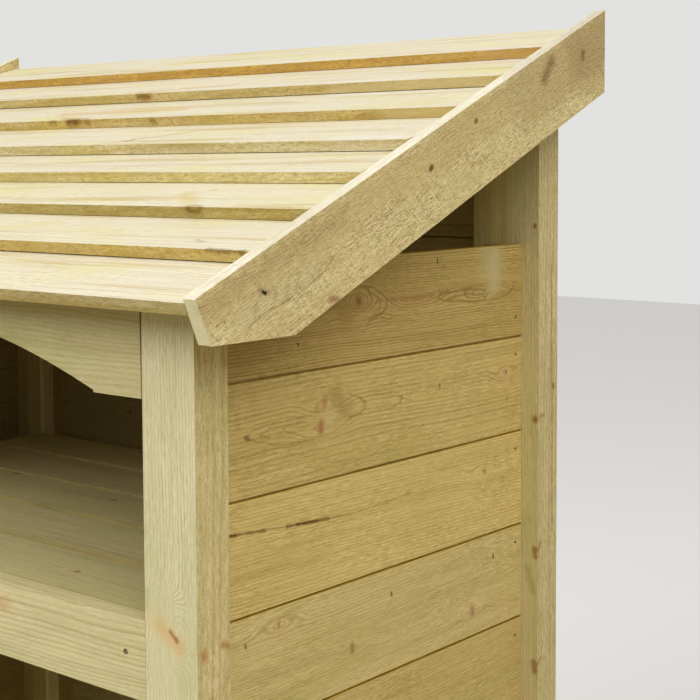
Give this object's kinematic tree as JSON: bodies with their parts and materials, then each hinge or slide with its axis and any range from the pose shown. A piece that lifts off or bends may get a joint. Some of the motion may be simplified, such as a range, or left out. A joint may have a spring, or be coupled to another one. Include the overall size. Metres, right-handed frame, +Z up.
{
  "type": "log store",
  "caption": "Timber log store with boarded sides and back, a raised slatted floor, a kindling shelf, an arched fascia and a lean-to roof of lapped slats.",
  "frame": {"origin": "on the ground under the middle of the roof", "axes": "+Z up, front of the store towards -Y, +X to the right of the front"},
  "size_m": [0.998, 0.605, 1.2],
  "materials": {
    "posts": "planed pressure-treated softwood, pale green",
    "side_boards": "planed pressure-treated softwood board, olive",
    "roof_slats": "planed softwood slat, pale cream on top, olive at its edge",
    "barge_boards": "rough-sawn softwood board",
    "fascia": "planed pressure-treated softwood board",
    "rails": "planed pressure-treated softwood with rounded arrises",
    "inner_framing": "sawn treated softwood batten",
    "deck_slats": "sawn treated softwood slat"
  },
  "bodies": {
    "root": {"post_front_left": "posts", "post_front_right": "posts", "post_rear_left": "posts", "post_rear_right": "posts", "side_boards_left": "side_boards", "side_boards_right": "side_boards", "back_boards": "side_boards", "roof_slat_1": "roof_slats", "roof_slat_2": "roof_slats", "roof_slat_3": "roof_slats", "roof_slat_4": "roof_slats", "roof_slat_5": "roof_slats", "roof_slat_6": "roof_slats", "roof_slat_7": "roof_slats", "roof_slat_8": "roof_slats", "barge_board_left": "barge_boards", "barge_board_right": "barge_boards", "arched_fascia": "fascia", "shelf_front_rail": "rails", "floor_front_rail": "rails", "rafter_left": "inner_framing", "rafter_right": "inner_framing", "cleat_front_left": "inner_framing", "cleat_front_right": "inner_framing", "cleat_rear_left": "inner_framing", "cleat_rear_right": "inner_framing", "back_cleat_left": "inner_framing", "back_cleat_right": "inner_framing", "shelf_back_rail": "inner_framing", "shelf_bearer_left": "inner_framing", "shelf_bearer_middle": "inner_framing", "shelf_bearer_right": "inner_framing", "floor_back_rail": "inner_framing", "floor_bearer_left": "inner_framing", "floor_bearer_middle": "inner_framing", "floor_bearer_right": "inner_framing", "shelf_slats": "deck_slats", "floor_slats": "deck_slats"}
  },
  "joints": []
}
